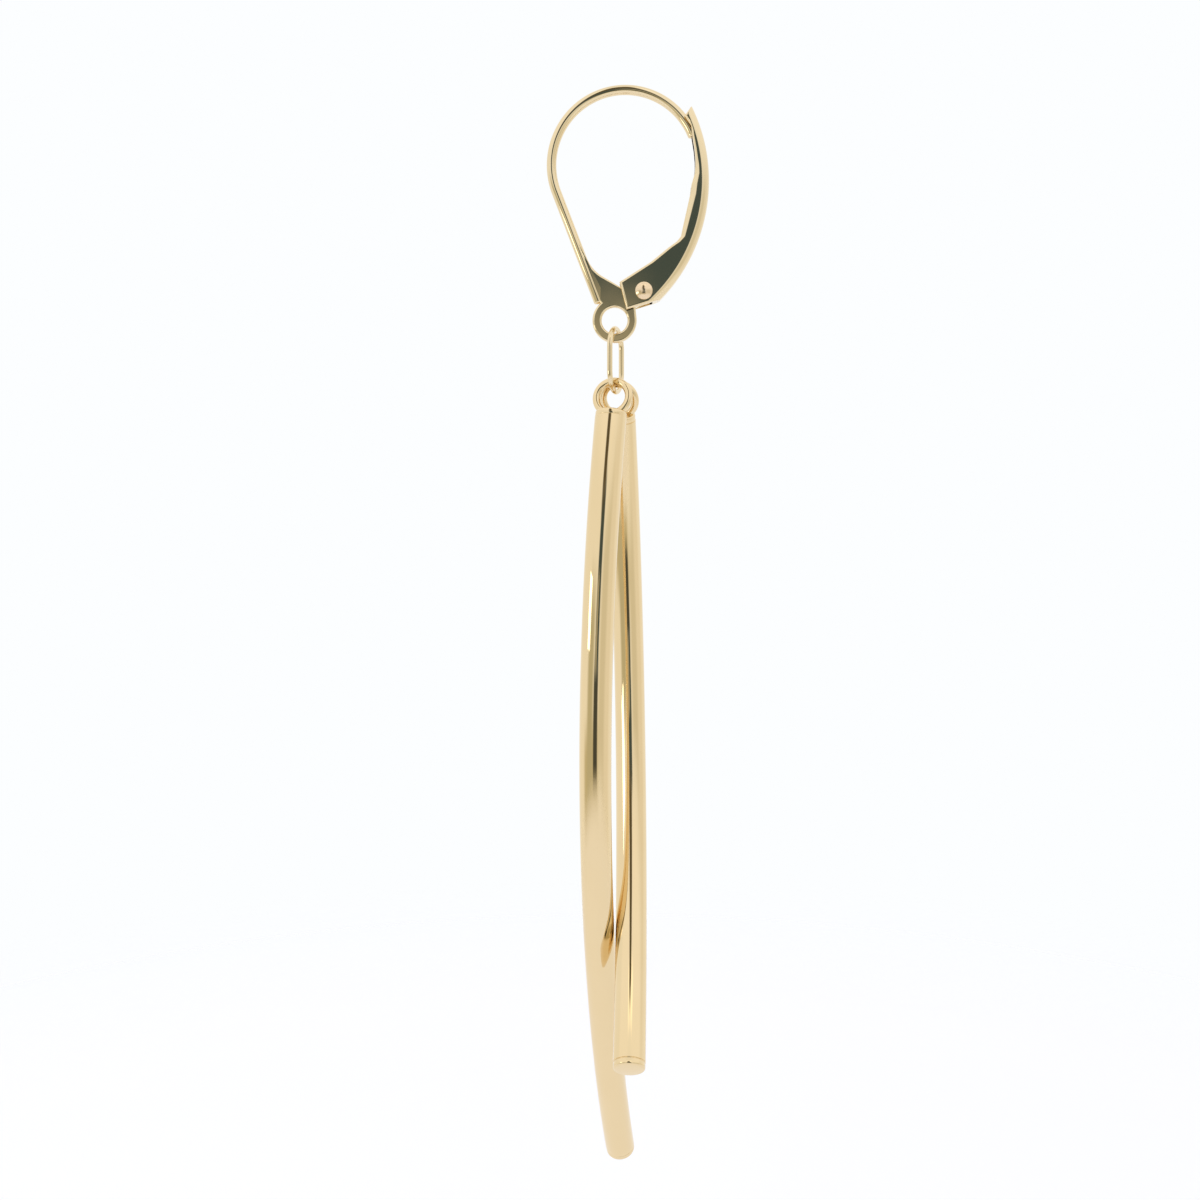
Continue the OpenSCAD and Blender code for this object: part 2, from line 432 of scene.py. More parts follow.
class NodeChain:
    """Lays out the nodes of a finish or of the surroundings, and hands their values on by sockets."""

    def __init__(self, tree: NodeTree) -> None:
        """Take a node tree to work on."""
        self.tree = tree

    def node(self, kind: str) -> Node:
        """Add a node of one kind."""
        return self.tree.nodes.new(kind)

    def link(self, start: Socket, end: Socket) -> None:
        """Join an output to an input."""
        self.tree.links.new(start, end)

    def math(self, operation: str, *values: Socket | float) -> Socket:
        """Work out one number from others.

        Args:
            operation: the name of the sum to do.
            values: sockets or plain numbers, in order.

        Returns:
            The result.
        """
        node = self.node("ShaderNodeMath")
        node.operation = operation
        for place, value in zip(node.inputs, values):
            if isinstance(value, (int, float)):
                place.default_value = value
            else:
                self.link(value, place)
        return node.outputs[0]

    def stretch(self, place: Socket, factors: Triple) -> Socket:
        """Scale a place along its three directions.

        Args:
            place: the place to scale.
            factors: the three factors.

        Returns:
            The scaled place.
        """
        node = self.node("ShaderNodeVectorMath")
        node.operation = "MULTIPLY"
        node.inputs[1].default_value = factors
        self.link(place, node.inputs[0])
        return node.outputs[0]

    def noise(self, place: Socket, scale: float, detail: float) -> Socket:
        """Lay a soft random pattern.

        Args:
            place: the place that the pattern follows.
            scale: spots in a millimetre.
            detail: how many finer patterns are laid over it.

        Returns:
            The pattern, from nothing to one.
        """
        node = self.node("ShaderNodeTexNoise")
        node.inputs["Scale"].default_value = scale
        node.inputs["Detail"].default_value = detail
        self.link(place, node.inputs["Vector"])
        return node.outputs["Fac"]

    def away(self, value: Socket, middle: float) -> Socket:
        """Give how far a value is from a middle one."""
        return self.math("ABSOLUTE", self.math("SUBTRACT", value, middle))

    def remap(self, value: Socket, ramp: Ramp, to: Flat) -> Socket:
        """Turn a value into a soft step between two numbers.

        Args:
            value: the value to turn.
            ramp: where the step starts and ends.
            to: the numbers before and after the step.

        Returns:
            The step.
        """
        node = self.node("ShaderNodeMapRange")
        node.interpolation_type = "SMOOTHSTEP"
        for place, number in zip(("From Min", "From Max", "To Min", "To Max"), (*ramp, *to)):
            node.inputs[place].default_value = number
        self.link(value, node.inputs["Value"])
        return node.outputs["Result"]

    def mix_values(self, first: Socket, second: Socket, share: float) -> Socket:
        """Mix two values by a fixed share of the second."""
        rest = self.math("MULTIPLY", first, 1.0 - share)
        return self.math("ADD", rest, self.math("MULTIPLY", second, share))

    def blend(self, factor: Socket, first: Triple | Socket, second: Triple) -> Socket:
        """Blend from one colour to another.

        Args:
            factor: the share of the second colour.
            first: the first colour, plain or on a socket.
            second: the second colour.

        Returns:
            The colour.
        """
        node = self.node("ShaderNodeMix")
        node.data_type = "RGBA"
        self.link(factor, node.inputs["Factor"])
        start, end = [place for place in node.inputs if place.name in ("A", "B") and place.type == "RGBA"]
        if isinstance(first, tuple):
            start.default_value = (*first, 1.0)
        else:
            self.link(first, start)
        end.default_value = (*second, 1.0)
        return next(place for place in node.outputs if place.type == "RGBA")

    def bump(self, height: Socket, distance: float, under: Socket | None) -> Socket:
        """Lift the surface by a pattern.

        Args:
            height: the pattern, from low to high spots.
            distance: how far its highest spots stand out, in metres.
            under: the bump below this one, if there is one.

        Returns:
            The bumped surface.
        """
        node = self.node("ShaderNodeBump")
        node.inputs["Distance"].default_value = distance
        self.link(height, node.inputs["Height"])
        if under is not None:
            self.link(under, node.inputs["Normal"])
        return node.outputs["Normal"]


@dataclass
class BentTube:
    """A bent round tube with a turned cap on each end and a ring soldered on the upper one.

    Its lower end lies at `end` from the upper one. Its middle stands out of the straight by `bow`, towards
    `bow_turn` degrees about Z. Its `side` is -1 in front of the other tube and 1 behind it.
    """

    name: str
    end: Triple
    bow: float
    bow_turn: float
    side: float
    radius: float = 1.025
    tube_gap: float = 0.06
    top_drop: float = 20.11
    # The tubes' tops lean towards each other, so their middles stand closer than two radii.
    top_lean: float = 0.905
    cap_t: float = 0.45
    cap_r: float = 1.005
    cap_edge_r: float = 0.15
    cap_edge_steps: int = 8
    seam_w: float = 0.03
    seam_r: float = 0.985
    lip_w: float = 0.015
    lip_depth: float = 0.006
    dome: float = 0.03
    dome_rings: tuple[float, ...] = (0.9, 0.75, 0.55, 0.35, 0.15, 0.04)
    ring_r: float = 1.08
    ring_wire_r: float = 0.25
    ring_rise: float = 0.97
    ring_sides: int = 32
    ring_steps: int = 120
    solder_r: float = 0.34
    solder_shape: Triple = (1.0, 1.5, 0.42)
    solder_rows: int = 20
    sides: int = 128
    steps: int = 220

    def cap_steps(self) -> tuple[RingStep, ...]:
        """Give the steps of a cap: the seam, the band, the rounded edge and the low dome.

        Returns:
            The steps, from the tube's end to the middle of the cap.
        """
        seam_end = 2 * self.seam_w
        edge_centre = self.cap_t - self.cap_edge_r
        flat_r = self.cap_r - self.cap_edge_r
        steps = [RingStep(0.0, self.cap_r), RingStep(self.seam_w / 2, self.seam_r),
                 RingStep(seam_end - self.seam_w / 2, self.seam_r),
                 RingStep(seam_end, self.cap_r - self.lip_depth), RingStep(seam_end + self.lip_w, self.cap_r)]
        for turn in quarter_turn(self.cap_edge_steps):
            steps.append(RingStep(edge_centre + self.cap_edge_r * math.sin(turn),
                                  flat_r + self.cap_edge_r * math.cos(turn)))
        for share in self.dome_rings:
            steps.append(RingStep(self.cap_t + self.dome * (1.0 - share * share), flat_r * share))
        return tuple(steps)

    def build(self, finish: Material) -> Object:
        """Bend the tube, cap it and solder its ring on.

        Args:
            finish: the gold it is made of.

        Returns:
            The finished piece.
        """
        chord = Vector(self.end).length
        bend_r = chord * chord / (8 * self.bow) + self.bow / 2
        half = math.asin(chord / 2 / bend_r)
        swing = half - self.cap_t / bend_r
        local = Matrix.Rotation(-math.radians(self.bow_turn), 3, "Z") @ Vector(self.end)
        hang = math.radians(HANG_TURN)
        offset = self.side * (self.top_lean * self.radius + self.tube_gap / 2)
        top = Vector((HANG_X + offset * math.sin(hang), offset * math.cos(hang), -self.top_drop))
        upper = (Matrix.Translation(top) @ Matrix.Rotation(math.radians(self.bow_turn), 4, "Z")
                 @ Matrix.Rotation(math.atan2(local.y, -local.z), 4, "X")
                 @ Matrix.Rotation(-math.asin(local.x / chord), 4, "Y"))
        arc = upper @ Matrix.Translation((self.bow - bend_r, 0.0, -chord / 2))
        work = self.bend(bend_r, swing)
        work.straighten(lambda place: self.unbend(place, bend_r))
        work.move(arc)
        ring_turn = 90.0 - HANG_TURN - self.bow_turn + (180.0 if self.bow_turn > 180.0 else 0.0)
        ring_place = (upper @ Matrix.Rotation(-half, 4, "Y") @ Matrix.Translation((0.0, 0.0, self.ring_rise))
                      @ Matrix.Rotation(math.radians(ring_turn), 4, "Z"))
        ring = self.ring()
        ring.move(ring_place)
        work.add(ring)
        return work.set_down(self.name, finish)

    def bend(self, bend_r: float, swing: float) -> Workpiece:
        """Sweep the tube round the centre of its bend and turn a cap on each end.

        Args:
            bend_r: the radius of the bend.
            swing: half the angle that the tube covers, in radians.

        Returns:
            The bent tube, with the centre of its bend at the origin.
        """
        work = Workpiece()
        to_end = Matrix.Rotation(-swing, 4, "Y") @ Matrix.Translation((bend_r, 0.0, 0.0))
        upper_edge = work.circle(self.radius, self.sides, to_end)
        lower_edge = work.turn(upper_edge, Vector(), Y_AXIS, math.degrees(2 * swing), self.steps)
        for edges, angle, way in ((upper_edge, swing, 1.0), (lower_edge, -swing, -1.0)):
            centre = Vector((bend_r * math.cos(angle), 0.0, bend_r * math.sin(angle)))
            outwards = way * Vector((-math.sin(angle), 0.0, math.cos(angle)))
            work.turned_end(edges, centre, outwards, self.radius, self.cap_steps())
        work.clean()
        return work

    def unbend(self, place: Vector, bend_r: float) -> Vector:
        """Give the place that a point of the tube would have if the tube were straight."""
        return Vector((math.hypot(place.x, place.z) - bend_r, place.y, bend_r * math.atan2(place.z, place.x)))

    def ring(self) -> Workpiece:
        """Close a ring of round wire in the Y-Z plane, with the solder that holds it on the cap.

        Returns:
            The ring, with its middle at the origin and the cap below it.
        """
        work = Workpiece()
        stock = work.circle(self.ring_wire_r, self.ring_sides, Matrix.Translation((0.0, self.ring_r, 0.0)))
        work.turn(stock, Vector(), X_AXIS, 360.0, self.ring_steps)
        bead = bmesh.ops.create_uvsphere(work.mesh, u_segments=self.ring_sides, v_segments=self.solder_rows,
                                         radius=self.solder_r)
        bmesh.ops.scale(work.mesh, vec=self.solder_shape, verts=bead["verts"])
        bmesh.ops.translate(work.mesh, vec=(0.0, 0.0, -self.ring_rise), verts=bead["verts"])
        work.clean()
        work.straighten(lambda place: Vector((place.x, math.hypot(place.y, place.z) - self.ring_r,
                                              self.ring_r * math.atan2(place.z, place.y))))
        return work


@dataclass
class EarWire:
    """A round wire bent to a bow, whose straight run is soldered into a flat plate with a round lug."""

    wire_r: float = 0.31
    bow_r: float = 4.69
    tip_angle: float = 23.0
    run_lean: float = 21.3
    run_len: float = 7.4
    end_bulge: float = 0.55
    end_steps: int = 6
    plate_t: float = 0.56
    rim_r: float = 0.14
    lug: Flat = (-0.64, -14.22)
    lug_r: float = 1.43
    lug_from: float = 130.0
    lug_sweep: float = 237.7
    lug_hole_r: float = 0.83
    boss_r: float = 0.7
    boss_from: float = -88.0
    boss_sweep: float = 280.0
    # The web's inner edge: its corner at the run, its straight stretch's far end and its rounding's length.
    corner: Flat = (-2.15, -10.95)
    tip: Flat = (0.45, -12.61)
    fillet: float = 0.8
    # The notch between lug and boss, and how far down the run the web starts.
    neck: Flat = (0.71, -13.43)
    web_start: float = 3.4
    sides: int = 48
    bow_steps: int = 150
    lug_steps: int = 60
    boss_steps: int = 40
    fillet_steps: int = 16
    round_steps: int = 6

    def along(self, distance: float, side: float) -> Flat:
        """Give a point beside the straight run.

        Args:
            distance: how far down the run from the bow.
            side: how far out from its middle, towards the lever.

        Returns:
            The point's X and Z.
        """
        lean = math.radians(self.run_lean)
        start = (-self.bow_r * math.cos(lean), self.wire_r - self.bow_r - self.bow_r * math.sin(lean))
        return (start[0] + distance * math.sin(lean) + side * math.cos(lean),
                start[1] - distance * math.cos(lean) + side * math.sin(lean))

    def build(self, finish: Material) -> Object:
        """Bend the wire and solder the plate on.

        Args:
            finish: the gold it is made of.

        Returns:
            The finished piece.
        """
        work = self.wire()
        work.add(self.plate())
        return work.set_down("ear_wire_and_plate", finish)

    def wire(self) -> Workpiece:
        """Bend the round wire from its tip round the bow and down the straight run.

        Returns:
            The wire, closed at both ends.
        """
        work = Workpiece()
        centre = Vector((0.0, 0.0, self.wire_r - self.bow_r))
        tip_turn = math.radians(self.tip_angle)
        to_tip = (Matrix.Translation(centre) @ Matrix.Rotation(-tip_turn, 4, "Y")
                  @ Matrix.Translation((self.bow_r, 0.0, 0.0)))
        tip_edge = work.circle(self.wire_r, self.sides, to_tip)
        sweep = 180.0 + self.run_lean - self.tip_angle
        run_edge = work.turn(tip_edge, centre, -Y_AXIS, sweep, self.bow_steps)
        down = (upright(self.along(1.0, 0.0)) - upright(self.along(0.0, 0.0))).normalized()
        foot = upright(self.along(self.run_len, 0.0))
        run_edge = work.step(run_edge, Vector(), down * self.run_len, 1.0)
        bulge = self.wire_r * self.end_bulge
        end_steps = tuple(RingStep(bulge * math.sin(turn), self.wire_r * math.cos(turn))
                          for turn in quarter_turn(self.end_steps)[1:-1])
        tip_place = centre + self.bow_r * Vector((math.cos(tip_turn), 0.0, math.sin(tip_turn)))
        behind = Vector((math.sin(tip_turn), 0.0, -math.cos(tip_turn)))
        work.turned_end(tip_edge, tip_place, behind, self.wire_r, end_steps)
        work.turned_end(run_edge, foot, down, self.wire_r, end_steps)
        work.clean()
        return work

    def plate(self) -> Workpiece:
        """Cut the flat plate with its lug, neck and boss, and round all its rims.

        Returns:
            The plate, across the plane of the leverback.
        """
        work = Workpiece()
        lug_on = self.circle_point(self.lug, self.lug_r, self.lug_from)
        drawing = Outline(work, self.along(self.web_start, 0.0))
        drawing.line(self.along(self.run_len, 0.0), lug_on)
        drawing.arc(self.lug, self.lug_sweep, self.lug_steps)
        drawing.line(self.neck, self.circle_point(RIVET_PLACE, self.boss_r, self.boss_from))
        drawing.arc(RIVET_PLACE, self.boss_sweep, self.boss_steps)
        self.draw_web(drawing)
        rim = drawing.close()
        hole = Outline(work, self.circle_point(self.lug, self.lug_hole_r, 0.0))
        hole.arc(self.lug, 360.0 - 360.0 / self.lug_steps, self.lug_steps - 1)
        rounded_sheet(work, rim + hole.close(), self.plate_t, self.rim_r, self.round_steps)
        return work

    def draw_web(self, drawing: Outline) -> None:
        """Draw the hollow curve that runs from the boss up into the wire.

        Args:
            drawing: the outline, whose last point is on the boss.
        """
        corner, tip = Vector(self.corner), Vector(self.tip)
        to_run = (Vector(self.along(0.0, 0.0)) - Vector(self.along(1.0, 0.0))).normalized()
        to_tip = (tip - corner).normalized()
        bend = math.acos(-to_run.dot(to_tip))
        fillet_r = self.fillet / math.tan(bend / 2)
        bisector = (to_run + to_tip).normalized()
        centre = corner + fillet_r / math.cos(bend / 2) * bisector
        drawing.line(tuple(corner + self.fillet * to_tip))
        drawing.arc(tuple(centre), -math.degrees(bend), self.fillet_steps)
        drawing.line(self.along(self.web_start, self.wire_r / 2))

    def circle_point(self, centre: Flat, radius: float, degrees: float) -> Flat:
        """Give the point of a circle that lies in a direction, in degrees from X."""
        turn = math.radians(degrees)
        return centre[0] + radius * math.cos(turn), centre[1] + radius * math.sin(turn)


@dataclass
class Lever:
    """The lever: a channel of thin metal, open to the inside, with a rounded back and rounded rims."""

    centre: Flat = (-5.03, -5.53)
    back_r: float = 10.41
    back_t: float = 0.22
    back_edge_r: float = 0.5
    width: float = 1.5
    slot_w: float = 0.8
    rim_r: float = 0.27
    # Where the flat side starts, against the rim's radius.
    rim_support: float = 1.05
    # Width of the narrow faces that keep the shading of a flat side flat beside a rounding.
    flat_gap: float = 0.012
    cut_rim_r: float = 0.16
    cut_steps: int = 6
    # Radius at which the rims are drawn, before each is moved out to the inner edge.
    rest_r: float = 7.0
    # How far the inner edge's first and last stretch run on past their ends, to clear the cuts.
    overrun: float = 1.6
    # The corners of the foot, which is cut along its bottom and up its front.
    foot: tuple[Flat, ...] = ((3.29, -12.65), (0.13, -13.6), (-0.33, -11.84))
    inner: tuple[RimPoint, ...] = (
        RimPoint((1.68, -10.58), 0.7), RimPoint((2.8, -9.68), 0.75), RimPoint((3.33, -9.3), 0.9),
        RimPoint((3.59, -8.98), 1.1), RimPoint((3.69, -8.5), 1.25), RimPoint((4.17, -6.36), 1.7),
        RimPoint((4.25, -5.75), 1.65), RimPoint((4.44, -5.1), 1.3), RimPoint((4.49, -4.6), 0.9),
        RimPoint((4.49, -4.2), 0.6), RimPoint((4.42, -3.5), 0.45), RimPoint((4.3, -2.8), 0.4),
        RimPoint((4.19, -2.08), 0.4), RimPoint((3.79, -1.5), 0.4))
    tip: Flat = (4.2, -0.93)
    start_angle: float = -60.0
    sweep: float = 93.0
    steps: int = 279
    rim_steps: int = 8
    back_steps: int = 16

    def section(self, work: Workpiece) -> list[BMEdge]:
        """Draw the channel's section: the two rims, the flat sides and the rounded back.

        Args:
            work: the mesh to draw on.

        Returns:
            The edges of the closed section.
        """
        half, slot, rim = self.width / 2, self.slot_w / 2, self.rim_r
        flat_end = self.back_r - self.back_edge_r
        drawing = Outline(work, (self.rest_r, -slot), Y_AXIS)
        drawing.line((self.rest_r, rim - half))
        drawing.arc((self.rest_r + rim, rim - half), 90.0, self.rim_steps)
        support = self.rest_r + self.rim_support * rim
        drawing.line((support, -half), (flat_end - self.flat_gap, -half), (flat_end, -half))
        drawing.arc((flat_end, self.back_edge_r - half), 90.0, self.back_steps)
        drawing.line((self.back_r, half - self.back_edge_r))
        drawing.arc((flat_end, half - self.back_edge_r), 90.0, self.back_steps)
        drawing.line((flat_end - self.flat_gap, half), (support, half), (self.rest_r + rim, half))
        drawing.arc((self.rest_r + rim, half - rim), 90.0, self.rim_steps)
        floor = self.back_r - self.back_t
        drawing.line((self.rest_r, slot), (floor, slot), (floor, -slot))
        return drawing.close()

    def build(self, finish: Material) -> Object:
        """Form the channel, trim its rims to shape and cut its ends.

        Args:
            finish: the gold it is made of.

        Returns:
            The finished piece.
        """
        work = Workpiece()
        section = self.section(work)
        work.move(Matrix.Rotation(-math.radians(self.start_angle), 4, "Y"))
        work.turn(section, Vector(), -Y_AXIS, self.sweep, self.steps)
        work.close_holes()
        work.move(Matrix.Translation(upright(self.centre)))
        self.trim_rims(work)
        last = self.inner[-1].corner
        for low, high in ((self.foot[0], self.foot[1]), (self.foot[1], self.foot[2]), (last, self.tip)):
            self.cut(work, low, high)
        work.clean()
        return work.set_down("lever_channel", finish)

    def trim_rims(self, work: Workpiece) -> None:
        """Move the rims of both side walls out to the lever's inner edge.

        Args:
            work: the mesh of the lever, bent but not trimmed.
        """
        centre = Vector(self.centre)
        path = [(Vector(point.corner), point.reach) for point in self.inner]
        (first, first_reach), (last, last_reach) = path[0], path[-1]
        path.insert(0, (first + self.overrun * (Vector(self.foot[2]) - first), first_reach))
        path.append((last + self.overrun * (last - path[-2][0]), last_reach))
        rim_depth = self.rim_support * self.rim_r
        for vert in work.mesh.verts:
            outwards = Vector((vert.co.x, vert.co.z)) - centre
            depth = outwards.length - self.rest_r
            if depth > 2 * self.rim_r:
                continue
            way = outwards.normalized()
            for (low, low_reach), (high, high_reach) in zip(path, path[1:]):
                met = intersect_line_line_2d(centre, centre + 2 * self.back_r * way, low, high)
                if met is not None:
                    share = (met - low).length / (high - low).length
                    inside_r = (met - centre).length
                    room = self.back_r - self.back_edge_r - self.flat_gap - inside_r
                    depth *= min(low_reach + share * (high_reach - low_reach), room / rim_depth)
                    vert.co = upright(tuple(centre + (inside_r + depth) * way)) + vert.co.y * Y_AXIS
                    break

    def cut(self, work: Workpiece, low: Flat, high: Flat) -> None:
        """Cut the lever along a line and round the outer rims of the cut with narrow flats.

        Args:
            work: the mesh of the lever.
            low: a point of the line.
            high: a further point, with the waste on the left of the way there.
        """
        start = upright(low)
        waste = (upright(high) - start).cross(Y_AXIS).normalized()
        self.slice(work, start, waste, True)
        for side in (-1.0, 1.0):
            centre = start - self.cut_rim_r * waste + side * (self.width / 2 - self.cut_rim_r) * Y_AXIS
            for turn in quarter_turn(self.cut_steps)[1:-1]:
                facing = math.cos(turn) * waste + side * math.sin(turn) * Y_AXIS
                self.slice(work, centre + self.cut_rim_r * facing, facing, True)
        self.slice(work, start - (self.cut_rim_r + self.flat_gap) * waste, waste, False)

    def slice(self, work: Workpiece, point: Vector, facing: Vector, clear: bool) -> None:
        """Slice the lever along a plane, and take off and close what stands proud of it if asked.

        Args:
            work: the mesh of the lever.
            point: a point of the plane.
            facing: the direction that the plane faces.
            clear: whether what lies beyond the plane is taken off.
        """
        geometry = work.mesh.verts[:] + work.mesh.edges[:] + work.mesh.faces[:]
        bmesh.ops.bisect_plane(work.mesh, geom=geometry, dist=TINY / 10, plane_co=point, plane_no=facing,
                               clear_outer=clear)
        work.close_holes()


@dataclass
class Rivet:
    """The pin through lever and plate, with a low dome on each end."""

    shank_r: float = 0.3
    head_r: float = 0.55
    head_h: float = 0.22
    head_edge: float = 0.02
    face: float = 0.79
    sides: int = 64
    dome_steps: int = 12

    def build(self, finish: Material) -> Object:
        """Turn the rivet with both its heads.

        Args:
            finish: the gold it is made of.

        Returns:
            The finished piece.
        """
        work = Workpiece()
        facing = Matrix.Rotation(math.pi / 2, 4, "X")
        dome_r = (self.head_r**2 + self.head_h**2) / (2 * self.head_h)
        dome_centre = self.face + self.head_h - dome_r
        steps = [RingStep(self.face, self.shank_r), RingStep(self.face, self.head_r - self.head_edge),
                 RingStep(self.face + self.head_edge, self.head_r)]
        for index in range(1, self.dome_steps):
            radius = self.head_r * (1.0 - index / self.dome_steps)
            steps.append(RingStep(dome_centre + math.sqrt(dome_r**2 - radius**2), radius))
        for way in (-1.0, 1.0):
            edges = work.circle(self.shank_r, self.sides, facing)
            work.turned_end(edges, Vector(), way * Y_AXIS, self.shank_r, tuple(steps))
        work.move(Matrix.Translation(upright(RIVET_PLACE)))
        work.clean()
        return work.set_down("rivet_pin", finish)


@dataclass
class Link:
    """The oval link of round wire that joins the lug to both rings."""

    top: float = -14.56
    wire_r: float = 0.175
    width: float = 2.6
    height: float = 4.38
    sides: int = 32
    end_steps: int = 60

    def build(self, finish: Material) -> Object:
        """Bend the wire round both ends of the oval and close it.

        Args:
            finish: the gold it is made of.

        Returns:
            The finished piece.
        """
        work = Workpiece()
        mid_r = self.width / 2
        run = self.height - 2 * self.wire_r - self.width
        upper = Vector((0.0, 0.0, self.top - self.wire_r - mid_r))
        lower = upper - run * Z_AXIS
        edge = work.circle(self.wire_r, self.sides, Matrix.Translation(upper + mid_r * X_AXIS))
        for middle, onwards in ((upper, lower - upper), (lower, upper - lower)):
            edge = work.turn(edge, middle, -Y_AXIS, 180.0, self.end_steps)
            edge = work.step(edge, Vector(), onwards, 1.0)
        across_lug = Matrix.Rotation(math.radians(90.0 - HANG_TURN), 4, "Z")
        work.move(Matrix.Translation((HANG_X, 0.0, 0.0)) @ across_lug)
        work.clean()
        return work.set_down("oval_link", finish)


class Band(NamedTuple):
    """A soft-edged patch of the surroundings, in degrees as seen from the earring."""

    turn: float
    turn_half: float
    turn_soft: float
    low: float
    high: float
    height_soft: float
    tone: Triple


@dataclass
class Studio:
    """The plain pale studio: a bright tent with a dark slit at the camera, the floor, lamps and camera."""

    floor_z: float = -96.0
    floor_r: float = 165.0
    floor_sides: int = 96
    solid_r: float = 90.0
    clear_r: float = 156.75
    floor_tint: Triple = (0.92, 0.93, 0.98)
    floor_roughness: float = 0.9
    floor_shine: float = 0.1
    tent: Triple = (1.0, 1.0, 1.0)
    backdrop: Triple = (0.975, 0.99, 1.0)
    bands: tuple[Band, ...] = (
        Band(0.0, 200.0, 5.0, 25.0, 66.0, 6.0, (1.07, 1.06, 1.06)),
        Band(80.0, 25.0, 10.0, -24.0, 18.0, 7.0, (0.92, 0.9, 0.86)),
        Band(42.0, 22.0, 12.0, -20.0, 14.0, 7.0, (0.77, 0.75, 0.67)),
        Band(-32.0, 52.0, 14.0, -27.5, -12.0, 4.0, (0.64, 0.595, 0.435)),
        Band(-41.0, 20.0, 11.0, -22.0, 7.0, 6.0, (0.58, 0.56, 0.43)),
        Band(0.0, 26.0, 6.0, 51.0, 61.0, 3.0, (1.5, 1.45, 1.3)),
        Band(-1.0, 14.5, 4.5, -21.0, -4.0, 3.0, (0.08, 0.085, 0.075)),
        Band(-0.5, 12.0, 4.0, -6.0, 22.0, 3.0, (0.07, 0.1, 0.11)),
        Band(-5.0, 11.0, 4.0, 19.0, 58.0, 4.0, (0.12, 0.1, 0.06)),
        Band(-5.0, 5.5, 0.5, -5.0, 8.8, 1.8, (0.42, 0.4, 0.32)),
    )
    camera_place: Triple = (0.64, -84.95, -26.34)
    camera_way: Triple = (-0.0261, 0.9972, -0.0698)
    focal: float = 39.0
    sensor: float = 36.0
    nearest: float = 1.0
    soft_lamp_place: Triple = (-120.0, -50.0, 400.0)
    soft_lamp_lean: float = -16.0
    soft_lamp_size: Flat = (500.0, 500.0)
    soft_lamp_watts: float = 0.25
    small_lamp_place: Triple = (-75.4, -45.3, -28.0)
    small_lamp_size: Flat = (28.0, 19.0)
    small_lamp_watts: float = 0.0034

    def build(self) -> None:
        """Set the surroundings, the floor, the lamps and the camera up."""
        self.surround()
        self.lay_floor()
        self.hang_lamps()
        self.place_camera()
        bpy.context.scene.view_settings.view_transform = "Standard"

    def surround(self) -> None:
        """Paint the tent that the gold reflects, band by band."""
        world = bpy.data.worlds.new("tent")
        bpy.context.scene.world = world
        world.use_nodes = True
        chain = NodeChain(world.node_tree)
        way = chain.node("ShaderNodeTexCoord").outputs["Generated"]
        parts = chain.node("ShaderNodeSeparateXYZ")
        chain.link(way, parts.inputs[0])
        across, along, rise = parts.outputs
        turn = chain.math("DEGREES", chain.math("ARCTAN2", across, chain.math("MULTIPLY", along, -1.0)))
        height = chain.math("DEGREES", chain.math("ARCSINE", rise))
        tone: Socket | Triple = self.tent
        for band in self.bands:
            share = self.band_share(chain, band, turn, height)
            tone = chain.blend(share, tone, band.tone)
        sight = chain.node("ShaderNodeLightPath").outputs["Is Camera Ray"]
        shown = chain.blend(sight, tone, self.backdrop)
        chain.link(shown, world.node_tree.nodes["Background"].inputs["Color"])

    def band_share(self, chain: NodeChain, band: Band, turn: Socket, height: Socket) -> Socket:
        """Give how much a band covers each direction.

        Args:
            chain: the nodes of the surroundings.
            band: the band.
            turn: the direction's angle from the camera.
            height: its angle above level.

        Returns:
            The share, from nothing to one.
        """
        spans = ((turn, band.turn, band.turn_half, band.turn_soft),
                 (height, (band.low + band.high) / 2, (band.high - band.low) / 2, band.height_soft))
        shares = [chain.remap(chain.away(value, middle), Ramp(half - soft, half + soft), (1.0, 0.0))
                  for value, middle, half, soft in spans]
        return chain.math("MULTIPLY", *shares)

    def lay_floor(self) -> None:
        """Lay a pale round floor whose rim melts into the surroundings."""
        floor = Workpiece()
        level = Matrix.Translation((0.0, 0.0, self.floor_z))
        floor.close_end(floor.circle(self.floor_r, self.floor_sides, level))
        bmesh.ops.reverse_faces(floor.mesh, faces=floor.mesh.faces)
        floor.set_down("floor", self.floor_finish())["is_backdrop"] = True

    def floor_finish(self) -> Material:
        """Mix the floor's matt white, which fades out towards its rim.

        Returns:
            The floor's material.
        """
        material = bpy.data.materials.new("matt_white_floor")
        material.use_nodes = True
        chain = NodeChain(material.node_tree)
        sheet = chain.tree.nodes["Principled BSDF"]
        sheet.inputs["Base Color"].default_value = (*self.floor_tint, 1.0)
        sheet.inputs["Roughness"].default_value = self.floor_roughness
        sheet.inputs["Specular IOR Level"].default_value = self.floor_shine
        parts = chain.node("ShaderNodeSeparateXYZ")
        chain.link(chain.node("ShaderNodeTexCoord").outputs["Object"], parts.inputs[0])
        squares = [chain.math("MULTIPLY", part, part) for part in parts.outputs[:2]]
        out = chain.math("SQRT", chain.math("ADD", *squares))
        fade = chain.remap(out, Ramp(self.solid_r * MM, self.clear_r * MM), (1.0, 0.0))
        chain.link(fade, sheet.inputs["Alpha"])
        return material

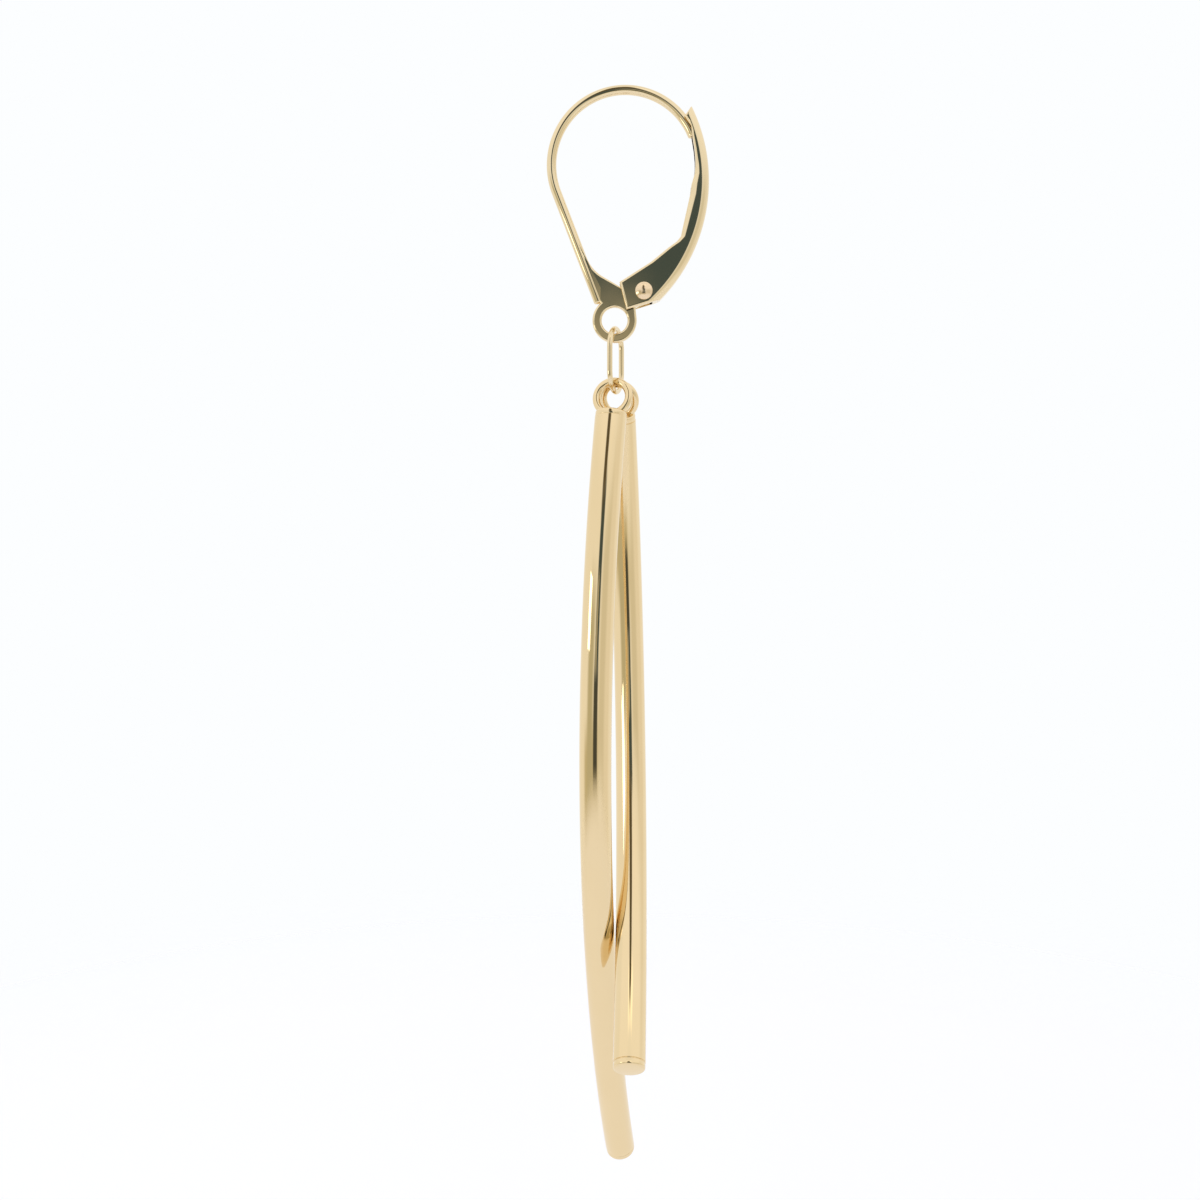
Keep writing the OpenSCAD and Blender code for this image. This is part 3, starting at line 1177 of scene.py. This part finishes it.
    def hang_lamps(self) -> None:
        """Hang a wide soft lamp over the floor, and stand a small one aside that the gold mirrors."""
        above = self.lamp("soft_lamp", self.soft_lamp_size, self.soft_lamp_watts)
        lean = Matrix.Rotation(math.radians(self.soft_lamp_lean), 4, "Y")
        above.matrix_world = Matrix.Translation(Vector(self.soft_lamp_place) * MM) @ lean
        above.visible_glossy = False
        place = Vector(self.small_lamp_place)
        beside = self.lamp("small_lamp", self.small_lamp_size, self.small_lamp_watts)
        facing = (Vector((0.0, 0.0, place.z)) - place).to_track_quat("-Z", "Y").to_matrix().to_4x4()
        beside.matrix_world = Matrix.Translation(place * MM) @ facing

    def lamp(self, name: str, size: Flat, watts: float) -> Object:
        """Make a flat lamp that the camera doesn't see.

        Args:
            name: the lamp's name.
            size: its width and height.
            watts: its strength.

        Returns:
            The lamp, still at the origin.
        """
        light = bpy.data.lights.new(name, "AREA")
        light.shape = "RECTANGLE"
        light.size, light.size_y = (side * MM for side in size)
        light.energy = watts
        holder = put_in_scene(name, light)
        holder.visible_camera = False
        return holder

    def place_camera(self) -> None:
        """Put the camera where the photograph was taken from."""
        lens = bpy.data.cameras.new("camera")
        lens.lens = self.focal
        lens.sensor_width = self.sensor
        lens.clip_start = self.nearest * MM
        camera = put_in_scene("camera", lens)
        turn = Vector(self.camera_way).to_track_quat("-Z", "Y").to_matrix().to_4x4()
        camera.matrix_world = Matrix.Translation(Vector(self.camera_place) * MM) @ turn
        bpy.context.scene.camera = camera


@dataclass
class Part:
    """One piece of the earring with the node it stands for, its body and its slot."""

    maker: EarWire | Lever | Rivet | Link | BentTube
    node: str
    body: str
    slot: str
    finish: Material


def parts() -> list[Part]:
    """Mix the finishes and list the pieces of the earring in the order that a maker would build them.

    Returns:
        The pieces, not yet built.
    """
    fittings = GoldFinish("polished_gold", (0.83, 0.69, 0.45), (0.79, 0.645, 0.4),
                          gloss_low=0.06, gloss_high=0.12, line_height=0.00012, line_share=0.08,
                          line_stretch=0.3, ripple_height=0.003).make()
    pins = GoldFinish("rivet_gold", (0.86, 0.68, 0.46), (0.82, 0.64, 0.42),
                      gloss_low=0.16, gloss_high=0.26, line_height=0.0003, line_share=0.15,
                      line_stretch=0.5).make()
    tubes = GoldFinish("tube_gold", (0.83, 0.665, 0.405), (0.8, 0.63, 0.365),
                       PatternSource.STRAIGHT_STOCK).make()
    long_tube = BentTube("long_drop", (0.58, 6.47, -52.05), bow=5.08, bow_turn=255.8, side=-1.0)
    short_tube = BentTube("short_drop", (0.7, -7.97, -40.7), bow=6.53, bow_turn=87.0, side=1.0)
    return [
        Part(EarWire(), "ear_wire", "ear_wire", "polished_gold", fittings),
        Part(Lever(), "lever", "lever", "polished_gold", fittings),
        Part(Rivet(), "rivet", "ear_wire", "rivet_gold", pins),
        Part(Link(), "link", "link", "polished_gold", fittings),
        Part(long_tube, "long_tube", "long_tube", "tube_gold", tubes),
        Part(short_tube, "short_tube", "short_tube", "tube_gold", tubes),
    ]


def write_sizes() -> None:
    boxes = {"cad": CAD_BOX, "visual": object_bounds()}
    {name: [list(corner) for corner in box] for name, box in boxes.items()}


def main() -> None:
    """Build the studio and every piece, and report each one."""
    logging.basicConfig(level=logging.INFO, format="%(name)s: %(message)s")
    Studio().build()
    for part in parts():
        piece = part.maker.build(part.finish)
        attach(piece, part.body)
        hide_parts(part.node)
        LOG.info("%s stands for %s: %d faces", piece.name, part.node, len(piece.data.polygons))
    write_sizes()


if __name__ == "__main__":
    main()
